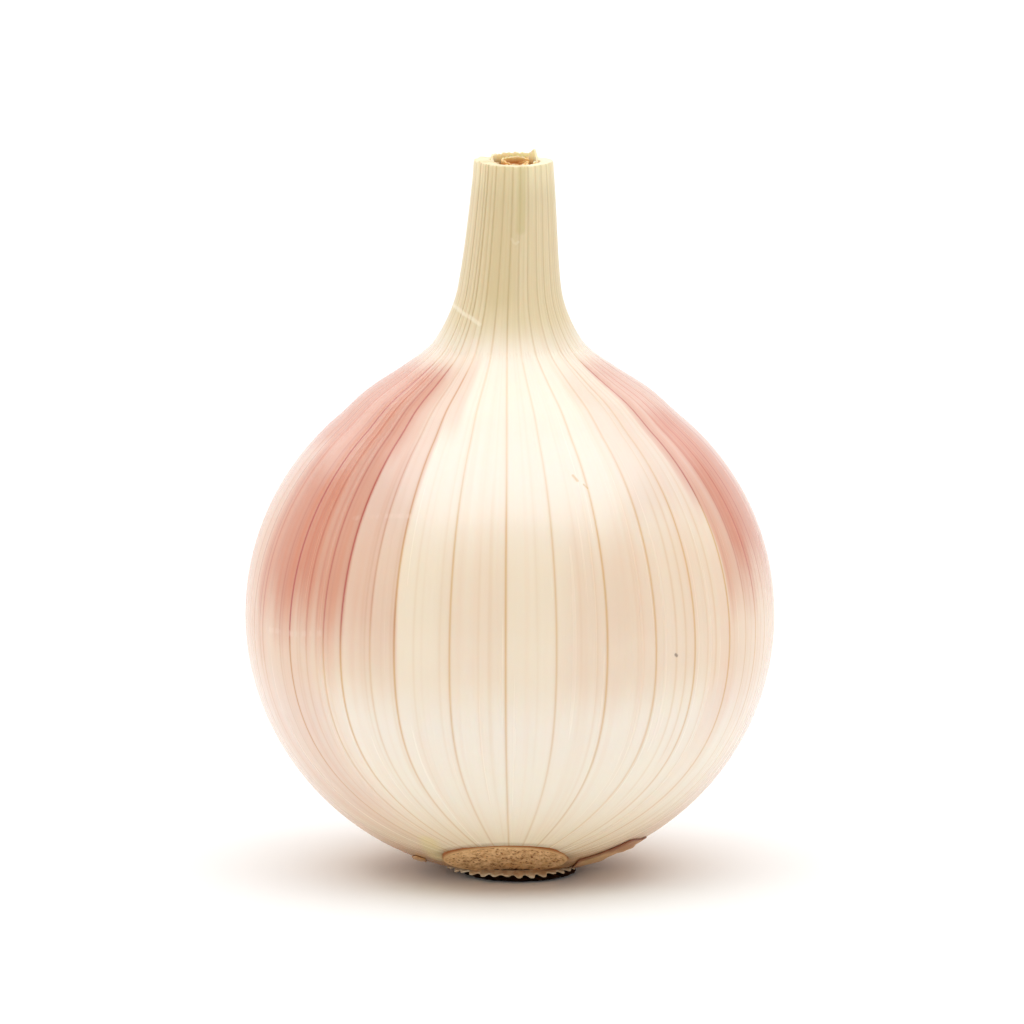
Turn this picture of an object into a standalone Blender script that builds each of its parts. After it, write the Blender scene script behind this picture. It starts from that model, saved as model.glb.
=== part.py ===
"""Pink shallot: one ripe bulb with a cut neck, standing on its root plate.

Everything is drawn in millimetres and scaled to metres when a mesh is made.
The origin is on the floor, in the middle of the flat spot that the bulb rests
on, +Z runs up through the neck, and -Y is the side that the root plate leans to.
"""
import bpy
import bmesh
from math import asin, cos, pi, radians, sin, sqrt
from mathutils import Matrix, Vector

# Body: the swollen leaf bases, a ball that a shoulder draws up into the neck.
BULB_RADIUS = 22.5
BULB_SQUASH = 0.982            # the ball is a little lower than it is wide
BULB_CENTRE_Z = 21.8
ROOT_LEAN = radians(24.0)      # the lower pole is tipped forward by this much
BULB_UNDERSIDE_Z = 0.65        # the skin is pressed flat here, round the roots
SHOULDER_START = radians(50.0)  # the ball gives way to the shoulder above this
SHOULDER = ((12.15, 40.85), (9.45, 42.65), (7.1, 44.35), (6.1, 45.5), (5.2, 47.15),
            (4.52, 49.05), (4.15, 51.35), (3.85, 54.35), (3.55, 57.95))
BULB_COLUMNS = 64
BALL_ROWS = 30

# Neck: the outer sheath was cut square, and the inner leaves stand in it.
NECK_RADIUS = 3.35
NECK_TOP_Z = 60.5
NECK_WALL = 0.75
RIM_ROUND = 0.2                # the cut edge is broken by this much
NECK_BEND_Z = (33.4, 45.4)     # between these the axis moves over to -X
NECK_BEND_BACK = 0.15
NECK_SETS_OVER = 0.3           # the cut end stands this far to +X of the axis
POCKET_DEPTH = 5.0
FIT_GAP = 0.3                  # between pieces that touch

SHEATH_WALL = 0.45
SHEATH_TOP_Z = 60.45
SHEATH_RISE = 0.8              # how much higher it stands at the back
SHEATH_TIP = 0.3               # the torn point on its back edge
CURL_RADIUS = 1.25
CURL_WALL = 0.35
CURL_START = radians(215.0)
CURL_TURN = radians(290.0)
CURL_TOP_Z = 60.35

# Root plate: a flat boss to stand on, and a leaning corky scar in front of it.
BOSS_RADIUS = 5.2
BOSS_HEIGHT = 2.6
SCAR_WIDTH = 10.6
SCAR_LENGTH = 8.8
SCAR_THICKNESS = 2.0
SCAR_TILT = radians(25.0)
SCAR_CENTRE = (-0.4, -9.66, 2.37)
POCKET_MARGIN = 0.3

# Root fringe: the trimmed roots, a ragged collar lying round the boss.
FRINGE_INNER = BOSS_RADIUS + FIT_GAP
FRINGE_BAND = 0.75
FRINGE_INNER_Z = 0.2
FRINGE_OUTER_Z = 0.32
FRINGE_TEETH = 32
FRINGE_TOOTH = 0.75            # mean length of a stub past the band
FRINGE_LOPSIDED = 0.45         # the stubs are longer on the +X side

# Dry skin left at the base, as patches lying just off the ball.
SKIN_THICKNESS = 0.3
SKIN_LIFT = 0.32
FLAKE_TURN = radians(-14.0)    # plan direction, from +X
FLAKE_REACH = (8.3, 11.6)      # plan distance from the axis, inner end and tip
FLAKE_HALF_WIDTH = 2.4
FLAKE_CURL = 0.25              # how far the tip lifts away
NUB_TURN = radians(204.0)
NUB_REACH = (8.0, 9.0)
NUB_HALF_WIDTH = 0.8
NUB_CURL = 0.05

COLOURS = {
    "bulb": ((0.78, 0.40, 0.33, 1.0), 0.32),
    "neck_inner_sheath": ((0.80, 0.62, 0.40, 1.0), 0.50),
    "neck_leaf_curl": ((0.78, 0.50, 0.24, 1.0), 0.50),
    "root_plate": ((0.42, 0.27, 0.15, 1.0), 0.85),
    "root_fringe": ((0.50, 0.40, 0.30, 1.0), 0.85),
    "dry_skin_flake": ((0.45, 0.22, 0.10, 1.0), 0.65),
    "dry_skin_nub": ((0.42, 0.20, 0.14, 1.0), 0.65),
}


def clear_scene():
    for obj in list(bpy.data.objects):
        bpy.data.objects.remove(obj, do_unlink=True)


def ease(t):
    """0 to 1, level at both ends."""
    t = min(max(t, 0.0), 1.0)
    return t * t * (3.0 - 2.0 * t)


def smooth_path(points, steps):
    """A Catmull-Rom curve through the points, `steps` pieces to each span."""
    knots = [Vector(p) for p in points]
    knots.insert(0, 2.0 * knots[0] - knots[1])
    knots.append(2.0 * knots[-1] - knots[-2])
    path = []
    for a, b, c, d in zip(knots, knots[1:], knots[2:], knots[3:]):
        for k in range(steps):
            t = k / steps
            path.append(0.5 * (2.0 * b + (c - a) * t
                               + (2.0 * a - 5.0 * b + 4.0 * c - d) * t ** 2
                               + (3.0 * b - a - 3.0 * c + d) * t ** 3))
    path.append(knots[-2])
    return path


def spin_profile(points, columns):
    """A bmesh turned about Z from (radius, height) points."""
    bm = bmesh.new()
    verts = [bm.verts.new((r, 0.0, z)) for r, z in points]
    edges = [bm.edges.new(pair) for pair in zip(verts, verts[1:])]
    bmesh.ops.spin(bm, geom=verts + edges, cent=(0, 0, 0), axis=(0, 0, 1), angle=2.0 * pi,
                   steps=columns, use_merge=True, use_duplicate=False)
    bmesh.ops.remove_doubles(bm, verts=bm.verts, dist=0.0001)
    return bm


def material(name):
    colour, roughness = COLOURS[name]
    mat = bpy.data.materials.new(name)
    mat.use_nodes = True
    shader = mat.node_tree.nodes["Principled BSDF"]
    shader.inputs["Base Color"].default_value = colour
    shader.inputs["Roughness"].default_value = roughness
    shader.inputs["Metallic"].default_value = 0.0
    mat.diffuse_color = colour
    return mat


def add_object(name, bm, sharp=40.0):
    """Close the bmesh, scale it to metres and put it in the scene."""
    bmesh.ops.recalc_face_normals(bm, faces=bm.faces)
    bm.transform(Matrix.Scale(0.001, 4))
    mesh = bpy.data.meshes.new(name)
    bm.to_mesh(mesh)
    bm.free()
    mesh.shade_smooth()
    mesh.set_sharp_from_angle(angle=radians(sharp))
    obj = bpy.data.objects.new(name, mesh)
    bpy.context.scene.collection.objects.link(obj)
    if name in COLOURS:
        mesh.materials.append(material(name))
    return obj


def add_tool(name, bm):
    """A hidden shape that a Boolean uses."""
    obj = add_object(name, bm)
    obj.hide_render = True
    obj.display_type = 'WIRE'
    return obj


def add_boolean(obj, tool, operation):
    mod = obj.modifiers.new(tool.name, 'BOOLEAN')
    mod.operation = operation
    mod.solver = 'EXACT'
    mod.object = tool


def neck_shift(z):
    """How far the neck's centre line stands to +X at a height."""
    low, high = NECK_BEND_Z
    back = NECK_BEND_BACK * ease((z - low) / (high - low))
    over = (NECK_SETS_OVER + NECK_BEND_BACK) * ease((z - high) / (NECK_TOP_Z - high))
    return over - back


def on_bulb(arm):
    """Where a point, given from the middle of a true ball, is on the squashed one."""
    return Vector((arm.x, arm.y, BULB_CENTRE_Z + arm.z * BULB_SQUASH))


def lean_point(p):
    """Turn a point of the lower half so that the pole tips forward."""
    arm = Vector((p.x, p.y, (p.z - BULB_CENTRE_Z) / BULB_SQUASH))
    if arm.z >= 0.0:
        return p
    below = asin(min(1.0, -arm.z / BULB_RADIUS)) / (pi / 2.0)
    return on_bulb(Matrix.Rotation(-ROOT_LEAN * ease(below), 3, 'X') @ arm)


def bulb_profile():
    """Pocket floor, up the pocket, over the rim, down the neck and round the ball."""
    bore = NECK_RADIUS - NECK_WALL
    points = [(0.0, NECK_TOP_Z - POCKET_DEPTH), (bore, NECK_TOP_Z - POCKET_DEPTH),
              (bore, NECK_TOP_Z - RIM_ROUND / 2.0), (bore + RIM_ROUND, NECK_TOP_Z),
              (NECK_RADIUS - RIM_ROUND, NECK_TOP_Z), (NECK_RADIUS, NECK_TOP_Z - RIM_ROUND)]
    rim = (NECK_RADIUS, NECK_TOP_Z - RIM_ROUND)
    ball = []
    for row in range(BALL_ROWS + 1):
        up = SHOULDER_START - (SHOULDER_START + pi / 2.0) * row / BALL_ROWS
        ball.append((BULB_RADIUS * cos(up),
                     BULB_CENTRE_Z + BULB_RADIUS * BULB_SQUASH * sin(up)))
    shoulder = smooth_path((rim,) + SHOULDER[::-1] + (ball[0],), 2)
    points += [tuple(p) for p in shoulder[1:]]
    return points + ball[1:]


def make_bulb():
    bm = spin_profile(bulb_profile(), BULB_COLUMNS)
    for v in bm.verts:
        v.co = lean_point(v.co)
        v.co.x += neck_shift(v.co.z)
        v.co.z = max(v.co.z, BULB_UNDERSIDE_Z)
    bulb = add_object("bulb", bm)
    add_boolean(bulb, add_tool("boss_pocket", boss_shape(POCKET_MARGIN)), 'DIFFERENCE')
    add_boolean(bulb, add_tool("scar_pocket", scar_shape(POCKET_MARGIN)), 'DIFFERENCE')
    return bulb


def boss_shape(margin=0.0):
    """The round foot of the root plate, its lower face on the floor."""
    bottom = -1.0 if margin else 0.0
    top = BOSS_HEIGHT + margin
    radius = BOSS_RADIUS + margin
    return spin_profile([(0.0, top), (radius, top), (radius, bottom), (0.0, bottom)], 48)


def scar_shape(margin=0.0):
    """The oval scar, a low dome leaning forward and down."""
    inner = SCAR_THICKNESS + margin
    outer = -1.0 if margin else 0.0
    profile = [(0.0, inner), (1.0, inner), (1.0, outer + 0.15), (0.97, outer), (0.0, outer)]
    bm = spin_profile(profile, 48)
    turn = Matrix.Rotation(-SCAR_TILT, 4, 'X')
    size = Matrix.Diagonal((SCAR_WIDTH / 2.0 + margin, SCAR_LENGTH / 2.0 + margin, 1.0, 1.0))
    bm.transform(Matrix.Translation(SCAR_CENTRE) @ turn @ size)
    return bm


def make_root_plate():
    plate = add_object("root_plate", scar_shape())
    add_boolean(plate, add_tool("boss", boss_shape()), 'UNION')
    return plate


def make_root_fringe():
    columns = FRINGE_TEETH * 4
    outer = FRINGE_INNER + FRINGE_BAND
    bm = spin_profile([(FRINGE_INNER, 0.0), (outer, 0.0), (outer, FRINGE_OUTER_Z),
                       (FRINGE_INNER, FRINGE_INNER_Z), (FRINGE_INNER, 0.0)], columns)
    reach = (0.0, 0.55, 1.0, 0.55)
    for v in bm.verts:
        flat = Vector((v.co.x, v.co.y))
        if flat.length < outer - 0.01:
            continue
        turn = flat.angle_signed(Vector((1.0, 0.0)))
        column = round(turn / (2.0 * pi) * columns) % columns
        tooth = column // 4
        length = FRINGE_TOOTH * (1.0 + 0.35 * sin(2.4 * tooth) + FRINGE_LOPSIDED * cos(turn))
        flat *= 1.0 + reach[column % 4] * length / flat.length
        v.co.x, v.co.y = flat
        if v.co.z > 0.0:
            v.co.z -= 0.12 * reach[column % 4]
    return add_object("root_fringe", bm, sharp=30.0)


def wall_sheet(radius, wall, bottom, top_at, start, turn, columns):
    """An upright strip of leaf bent to a radius, thickened into a solid."""
    bm = bmesh.new()
    closed = abs(turn - 2.0 * pi) < 0.001
    count = columns if closed else columns + 1
    low, high = [], []
    for k in range(count):
        angle = start + turn * k / columns
        x, y = radius * cos(angle), radius * sin(angle)
        low.append(bm.verts.new((x, y, bottom)))
        high.append(bm.verts.new((x, y, top_at(angle))))
    for k in range(columns):
        n = (k + 1) % count
        bm.faces.new((low[k], low[n], high[n], high[k]))
    bmesh.ops.recalc_face_normals(bm, faces=bm.faces)
    bmesh.ops.solidify(bm, geom=bm.faces[:] + bm.edges[:] + bm.verts[:], thickness=wall)
    bm.transform(Matrix.Translation((NECK_SETS_OVER, 0.0, 0.0)))
    return bm


def make_neck_leaves():
    floor = NECK_TOP_Z - POCKET_DEPTH + FIT_GAP
    outer = NECK_RADIUS - NECK_WALL - FIT_GAP
    inner = outer - SHEATH_WALL

    def sheath_top(angle):
        back = ease(0.5 + 0.9 * sin(angle))
        tip = max(0.0, 1.0 - abs(angle - radians(62.0)) / radians(14.0))
        return SHEATH_TOP_Z + SHEATH_RISE * back + SHEATH_TIP * tip

    add_object("neck_inner_sheath",
               wall_sheet(inner, SHEATH_WALL, floor, sheath_top, 0.0, 2.0 * pi, 60))
    add_object("neck_leaf_curl",
               wall_sheet(CURL_RADIUS - CURL_WALL, CURL_WALL, floor, lambda angle: CURL_TOP_Z,
                          CURL_START, CURL_TURN, 30))


def ball_point(azimuth, radius, lift):
    """A point off the ball at a plan angle and a plan distance from the axis."""
    drop = asin(radius / BULB_RADIUS)
    reach = BULB_RADIUS + lift
    return on_bulb(Vector((reach * sin(drop) * cos(azimuth), reach * sin(drop) * sin(azimuth),
                           -reach * cos(drop))))


def skin_patch(name, azimuth, reach, half_width, curl, across, along):
    """A scrap of skin: a strip of the ball's surface, narrowing to a lifted tip."""
    inner, outer = reach
    bm = bmesh.new()
    bmesh.ops.create_grid(bm, x_segments=along, y_segments=across, size=1.0)
    for v in bm.verts:
        out = (v.co.x + 1.0) / 2.0
        width = half_width * sqrt(max(0.04, 1.0 - out ** 2)) * (1.0 + 0.12 * sin(9.0 * out))
        radius = inner + (outer - inner) * out
        v.co = ball_point(azimuth + v.co.y * width / radius, radius, SKIN_LIFT + curl * out ** 2)
    bmesh.ops.recalc_face_normals(bm, faces=bm.faces)
    if sum(f.normal.z for f in bm.faces) > 0.0:
        bmesh.ops.reverse_faces(bm, faces=bm.faces)
    bmesh.ops.solidify(bm, geom=bm.faces[:] + bm.edges[:] + bm.verts[:],
                       thickness=-SKIN_THICKNESS)
    return add_object(name, bm)


def make_dry_skin():
    skin_patch("dry_skin_flake", FLAKE_TURN, FLAKE_REACH, FLAKE_HALF_WIDTH, FLAKE_CURL, 6, 8)
    skin_patch("dry_skin_nub", NUB_TURN, NUB_REACH, NUB_HALF_WIDTH, NUB_CURL, 3, 3)


def main():
    clear_scene()
    make_bulb()
    make_neck_leaves()
    make_root_plate()
    make_root_fringe()
    make_dry_skin()


main()
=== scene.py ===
import random
from bisect import bisect
from math import asin, atan2, cos, degrees, hypot, pi, radians, sin

import bmesh
import bpy
from mathutils import Matrix, Vector, noise


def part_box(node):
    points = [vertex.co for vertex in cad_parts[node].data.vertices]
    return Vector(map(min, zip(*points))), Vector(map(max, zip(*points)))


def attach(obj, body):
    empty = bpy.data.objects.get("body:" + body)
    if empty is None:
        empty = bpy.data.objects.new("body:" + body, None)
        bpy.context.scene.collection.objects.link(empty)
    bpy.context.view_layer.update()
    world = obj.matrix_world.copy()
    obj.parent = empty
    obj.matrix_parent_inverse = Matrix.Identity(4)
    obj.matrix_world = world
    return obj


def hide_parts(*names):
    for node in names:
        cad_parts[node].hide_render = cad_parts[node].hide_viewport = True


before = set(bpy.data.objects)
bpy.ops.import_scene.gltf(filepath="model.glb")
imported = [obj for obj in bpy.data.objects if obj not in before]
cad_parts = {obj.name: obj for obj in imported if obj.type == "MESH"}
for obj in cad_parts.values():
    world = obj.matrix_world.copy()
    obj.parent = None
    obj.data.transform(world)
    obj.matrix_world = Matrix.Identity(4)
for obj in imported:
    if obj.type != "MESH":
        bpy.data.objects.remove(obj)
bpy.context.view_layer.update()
mm = 0.001      # pieces are drawn in millimetres and scaled when they are finished
print("frame loaded")


def ease(t):
    t = min(max(t, 0.0), 1.0)
    return t * t * (3.0 - 2.0 * t)


def between(ends, share):
    return ends[0] + (ends[1] - ends[0]) * share


def band(value, low, high, softLow, softHigh):
    # 1 between low and high, easing to 0 over the soft widths outside them
    return ease((value - low) / softLow + 1.0) * ease((high - value) / softHigh + 1.0)


def smoothPath(points, steps):
    knots = [Vector(p) for p in points]
    knots.insert(0, 2.0 * knots[0] - knots[1])
    knots.append(2.0 * knots[-1] - knots[-2])
    path = []
    for a, b, c, d in zip(knots, knots[1:], knots[2:], knots[3:]):
        for k in range(steps):
            t = k / steps
            path.append(0.5 * (2.0 * b + (c - a) * t
                               + (2.0 * a - 5.0 * b + 4.0 * c - d) * t ** 2
                               + (3.0 * b - a - 3.0 * c + d) * t ** 3))
    path.append(knots[-2])
    return path


def wave(x, y, z=0.0):
    return noise.noise(Vector((x, y, z)))


def spinProfile(points, columns, layers=()):
    # points are (radius, height); a float layer is made for each name in layers
    bm = bmesh.new()
    for name in layers:
        bm.verts.layers.float.new(name)
    verts = [bm.verts.new((r, 0.0, z)) for r, z in points]
    edges = [bm.edges.new(pair) for pair in zip(verts, verts[1:])]
    # an eighth of the turn is spun, then copied round
    bmesh.ops.spin(bm, geom=verts + edges, cent=(0, 0, 0), axis=(0, 0, 1), angle=pi / 4.0,
                   steps=columns // 8, use_merge=False, use_duplicate=False)
    for turn in (pi / 4.0, pi / 2.0, pi):
        made = bmesh.ops.duplicate(bm, geom=bm.verts[:] + bm.edges[:] + bm.faces[:])["geom"]
        copied = [item for item in made if isinstance(item, bmesh.types.BMVert)]
        bmesh.ops.rotate(bm, verts=copied, cent=(0, 0, 0), matrix=Matrix.Rotation(turn, 3, 'Z'))
    bmesh.ops.remove_doubles(bm, verts=bm.verts, dist=0.0001)
    return bm


def frontAngle(x, y):
    return atan2(x, -y)      # 0 at the front, growing to +X


def finishPiece(name, bm, material):
    bmesh.ops.recalc_face_normals(bm, faces=bm.faces)
    bm.transform(Matrix.Scale(mm, 4))
    mesh = bpy.data.meshes.new(name)
    bm.to_mesh(mesh)
    bm.free()
    mesh.shade_smooth()
    mesh.materials.append(material)
    piece = bpy.data.objects.new(name, mesh)
    bpy.context.scene.collection.objects.link(piece)
    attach(piece, "root")
    print(name, len(mesh.polygons), "faces")
    return piece


def tint(r, g, b):
    # an 8-bit screen colour as scene-linear RGBA
    def linear(c):
        c = c / 255.0
        return c / 12.92 if c <= 0.04045 else ((c + 0.055) / 1.055) ** 2.4
    return linear(r), linear(g), linear(b), 1.0


def feed(tree, socket, value):
    if isinstance(value, bpy.types.NodeSocket):
        tree.links.new(value, socket)
    else:
        socket.default_value = value


def maths(tree, operation, a, b=0.0, c=0.0, clamp=False):
    node = tree.nodes.new("ShaderNodeMath")
    node.operation = operation
    node.use_clamp = clamp
    for socket, value in zip(node.inputs, (a, b, c)):
        feed(tree, socket, value)
    return node.outputs[0]


def vectorMaths(tree, operation, a, b=(0.0, 0.0, 0.0), output=0):
    node = tree.nodes.new("ShaderNodeVectorMath")
    node.operation = operation
    feed(tree, node.inputs[0], a)
    feed(tree, node.inputs[1], b)
    return node.outputs[output]


def mapRange(tree, value, low, high, toLow=0.0, toHigh=1.0, smooth=True):
    node = tree.nodes.new("ShaderNodeMapRange")
    node.interpolation_type = 'SMOOTHSTEP' if smooth else 'LINEAR'
    for socket, setting in zip(node.inputs, (value, low, high, toLow, toHigh)):
        feed(tree, socket, setting)
    return node.outputs[0]


def mixColour(tree, factor, a, b, blend='MIX'):
    node = tree.nodes.new("ShaderNodeMix")
    node.data_type = 'RGBA'
    node.blend_type = blend
    feed(tree, node.inputs[0], factor)
    feed(tree, node.inputs[6], a)
    feed(tree, node.inputs[7], b)
    return node.outputs[2]


def readAttribute(tree, name, output="Fac"):
    node = tree.nodes.new("ShaderNodeAttribute")
    node.attribute_name = name
    return node.outputs[output]


def objectPlace(tree):
    return tree.nodes.new("ShaderNodeTexCoord").outputs["Object"]


def colourRamp(tree, value, stops):
    node = tree.nodes.new("ShaderNodeValToRGB")
    node.color_ramp.interpolation = 'EASE'
    elements = node.color_ramp.elements
    while len(elements) < len(stops):
        elements.new(0.5)
    for element, (position, colour) in zip(elements, stops):
        element.position = position
        element.color = colour
    feed(tree, node.inputs[0], value)
    return node.outputs["Color"]


def noiseValue(tree, vector, scale, detail=2.0, roughness=0.5):
    node = tree.nodes.new("ShaderNodeTexNoise")
    feed(tree, node.inputs["Vector"], vector)
    node.inputs["Scale"].default_value = scale
    node.inputs["Detail"].default_value = detail
    node.inputs["Roughness"].default_value = roughness
    return node.outputs["Fac"]


def bump(tree, height, distance):
    node = tree.nodes.new("ShaderNodeBump")
    node.inputs["Strength"].default_value = 1.0
    node.inputs["Distance"].default_value = distance
    feed(tree, node.inputs["Height"], height)
    return node.outputs["Normal"]


def newMaterial(name, roughness, settings):
    mat = bpy.data.materials.new(name)
    mat.use_nodes = True
    shader = mat.node_tree.nodes["Principled BSDF"]
    shader.inputs["Roughness"].default_value = roughness
    for socket, value in settings.items():
        shader.inputs[socket].default_value = value
    return mat, mat.node_tree, shader


def newGroup(name, inputs, outputs):
    group = bpy.data.node_groups.new(name, "ShaderNodeTree")
    for label, kind, default in inputs:
        socket = group.interface.new_socket(label, in_out='INPUT', socket_type=kind)
        if default is not None:
            socket.default_value = default
    for label, kind in outputs:
        group.interface.new_socket(label, in_out='OUTPUT', socket_type=kind)
    return group, group.nodes.new("NodeGroupInput"), group.nodes.new("NodeGroupOutput")


def useGroup(tree, group, **values):
    node = tree.nodes.new("ShaderNodeGroup")
    node.node_tree = group
    for label, value in values.items():
        feed(tree, node.inputs[label], value)
    return node.outputs[0]


def makeFibreGroup():
    # long streaks: fine across the fibres, slow along them
    group, source, sink = newGroup(
        "plantFibre",
        (("Place", "NodeSocketVector", None), ("Across", "NodeSocketFloat", 20.0),
         ("Along", "NodeSocketFloat", 2.0), ("Contrast", "NodeSocketFloat", 1.0)),
        (("Streaks", "NodeSocketFloat"),))
    stretch = group.nodes.new("ShaderNodeCombineXYZ")
    for axis, label in enumerate(("Across", "Across", "Along")):
        group.links.new(source.outputs[label], stretch.inputs[axis])
    place = vectorMaths(group, 'MULTIPLY', source.outputs["Place"], stretch.outputs[0])
    value = noiseValue(group, place, 1.0, 3.0, 0.55)
    centred = maths(group, 'SUBTRACT', value, 0.5)
    spread = maths(group, 'MULTIPLY', centred, source.outputs["Contrast"])
    group.links.new(maths(group, 'ADD', spread, 0.5, clamp=True), sink.inputs["Streaks"])
    return group


def makeScarGroup():
    # a soft mark round the straight line from Start to End
    group, source, sink = newGroup(
        "skinScar",
        (("Place", "NodeSocketVector", None), ("Start", "NodeSocketVector", None),
         ("End", "NodeSocketVector", None), ("Width", "NodeSocketFloat", 0.0002)),
        (("Mark", "NodeSocketFloat"),))
    start, end = source.outputs["Start"], source.outputs["End"]
    run = vectorMaths(group, 'SUBTRACT', end, start)
    reach = vectorMaths(group, 'SUBTRACT', source.outputs["Place"], start)
    onLine = vectorMaths(group, 'DOT_PRODUCT', reach, run, output=1)
    length = vectorMaths(group, 'DOT_PRODUCT', run, run, output=1)
    share = maths(group, 'DIVIDE', onLine, maths(group, 'ADD', length, 1e-12), clamp=True)
    scaled = group.nodes.new("ShaderNodeVectorMath")
    scaled.operation = 'SCALE'
    group.links.new(run, scaled.inputs[0])
    group.links.new(share, scaled.inputs["Scale"])
    away = vectorMaths(group, 'DISTANCE', reach, scaled.outputs[0], output=1)
    ratio = maths(group, 'DIVIDE', away, source.outputs["Width"])
    group.links.new(mapRange(group, ratio, 1.0, 0.25), sink.inputs["Mark"])
    return group


fibreGroup = makeFibreGroup()
scarGroup = makeScarGroup()


_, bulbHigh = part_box("bulb")

# ball, shoulder and neck under one skin, in millimetres
bulb = {
    "columns": 800,
    "ballRows": 62,
    "ballRadius": 22.5,
    "ballSquash": 0.982,
    "ballCentreZ": 21.8,
    "rootLean": radians(24.0),
    "undersideZ": 0.3,
    "shoulderStart": radians(50.0),
    "shoulder": ((12.15, 40.85), (9.45, 42.65), (7.1, 44.35), (6.1, 45.5), (5.2, 47.15),
                 (4.52, 49.05), (4.15, 51.35), (3.85, 54.35), (3.55, 57.95)),
    "neckRadius": 3.35,
    "neckTopZ": bulbHigh[2] / mm,
    "neckWall": 1.2,
    "boreShift": (0.1, -0.3),
    "neckBendZ": (33.4, 45.4),
    "neckBendBack": 0.15,
    "neckSetsOver": 0.3,
    "pocketDepth": 4.0,
    "neckBlend": (42.0, 48.0),  # from the ball's shallow relief to the neck's full one
    "grooveDepth": 0.03,
    "grooveShare": (0.15, 1.05),     # share of that depth on the ball and on the neck
    "sideGroove": 0.4,
    "flute": 0.030,             # the skin swells a little between two veins
    "fluteShare": (0.42, 1.0),
    "lump": 0.05,
    "veinWidth": 0.11,
    "veinSpread": 0.0038,       # added width for each millimetre of radius
    "wander": radians(0.35),
}

# main veins by angle from the front, with their strength
frontVeins = ((-74.0, 0.55), (-68.0, 0.50), (-55.5, 1.00), (-49.5, 0.42), (-44.0, 0.66),
              (-39.0, 0.90), (-31.5, 0.50), (-25.5, 0.86), (-13.0, 0.72), (-1.0, 0.80),
              (10.0, 0.62), (21.0, 0.80), (33.0, 0.76), (43.6, 0.80), (55.5, 0.94),
              (62.0, 0.50), (67.0, 0.70), (73.0, 0.60))
farVeins = {"seed": 11, "from": 84.0, "to": 277.0, "gap": (9.6, 13.2),
            "strength": (0.5, 0.95)}
# fainter lines between them: how many there may be, and where each starts and stops
betweenLines = {"seed": 5, "count": (1, 2, 2, 3), "place": (0.15, 0.85),
                "low": (-10.0, 22.0), "high": (26.0, 62.0), "shortest": 12.0,
                "strength": (0.06, 0.2), "frontShare": 0.8, "farShare": 1.7,
                "frontWidth": radians(36.0)}

# blush patches: angles from and to with soft edges, heights from and to with soft
# edges, strength
blushPatches = ((-63.5, -50.0, 10.0, 10.0, 28.0, 34.0, 10.0, 9.0, 0.92),
                (-69.0, -39.2, 12.0, 1.5, 27.5, 38.5, 11.0, 5.0, 0.78),
                (-124.0, -39.2, 18.0, 1.5, 25.0, 41.5, 10.0, 4.0, 0.48),
                (-130.0, -68.0, 16.0, 12.0, 22.0, 43.0, 11.0, 3.0, 0.42),
                (-120.0, -31.7, 16.0, 1.5, 27.0, 37.0, 10.0, 6.0, 0.45),
                (-120.0, -25.7, 16.0, 1.0, 25.0, 43.0, 10.0, 2.4, 0.33),
                (-128.0, -21.0, 16.0, 4.0, 41.0, 43.4, 3.0, 2.4, 0.26),
                (-114.0, -42.0, 18.0, 16.0, 38.0, 42.6, 4.0, 2.4, 0.82),
                (-132.0, -52.0, 18.0, 14.0, 6.0, 25.0, 6.0, 11.0, 0.30),
                (-12.0, -2.0, 6.0, 2.0, 22.0, 28.0, 4.0, 6.0, 0.08),
                (16.0, 54.0, 7.0, 5.0, 21.0, 28.0, 6.0, 8.0, 0.14),
                (22.0, 33.0, 1.5, 5.0, 24.0, 29.0, 4.0, 6.0, 0.17),
                (33.5, 60.0, 6.0, 6.0, 34.0, 42.0, 5.0, 2.5, 0.15),
                (55.0, 84.0, 4.5, 14.0, 36.5, 42.9, 6.0, 2.2, 0.65),
                (64.0, 76.0, 9.0, 30.0, 29.8, 38.6, 8.0, 5.0, 0.94),
                (56.0, 106.0, 1.2, 16.0, 28.0, 42.0, 9.0, 3.0, 0.62),
                (54.0, 112.0, 10.0, 16.0, 18.0, 27.0, 9.0, 11.0, 0.20),
                (160.0, 196.0, 15.0, 18.0, 28.0, 38.0, 12.0, 7.0, 0.78),
                (148.0, 212.0, 2.0, 16.0, 22.0, 42.0, 12.0, 4.0, 0.42),
                (81.0, 276.0, 17.0, 20.0, 4.0, 43.0, 8.0, 3.0, 0.29))


def makeVeins():
    dice = random.Random(farVeins["seed"])
    lines = [(radians(a), s) for a, s in frontVeins]
    angle = farVeins["from"]
    while angle < farVeins["to"]:
        lines.append((radians(angle), dice.uniform(*farVeins["strength"])))
        angle += dice.uniform(*farVeins["gap"])
    return sorted((a if a <= pi else a - 2.0 * pi, s) for a, s in lines)


def makeSideVeins(mains):
    # each on part of the height only
    s = betweenLines
    dice = random.Random(s["seed"])
    lines = []
    for (a, _), (b, _) in zip(mains, mains[1:] + [(mains[0][0] + 2.0 * pi, 0.0)]):
        for _ in range(dice.choice(s["count"])):
            angle = a + (b - a) * dice.uniform(*s["place"])
            low = dice.uniform(*s["low"])
            high = dice.uniform(max(low + s["shortest"], s["high"][0]), s["high"][1])
            atFront = abs(angle) < s["frontWidth"]
            strength = dice.uniform(*s["strength"]) * s["frontShare" if atFront else "farShare"]
            lines.append((angle if angle <= pi else angle - 2.0 * pi, strength, low, high))
    return sorted(lines)


mainVeins = makeVeins()
sideVeins = makeSideVeins(mainVeins)
mainAngles = [v[0] for v in mainVeins]
sideAngles = [v[0] for v in sideVeins]


def turnBetween(a, b):
    return (a - b + pi) % (2.0 * pi) - pi


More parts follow.
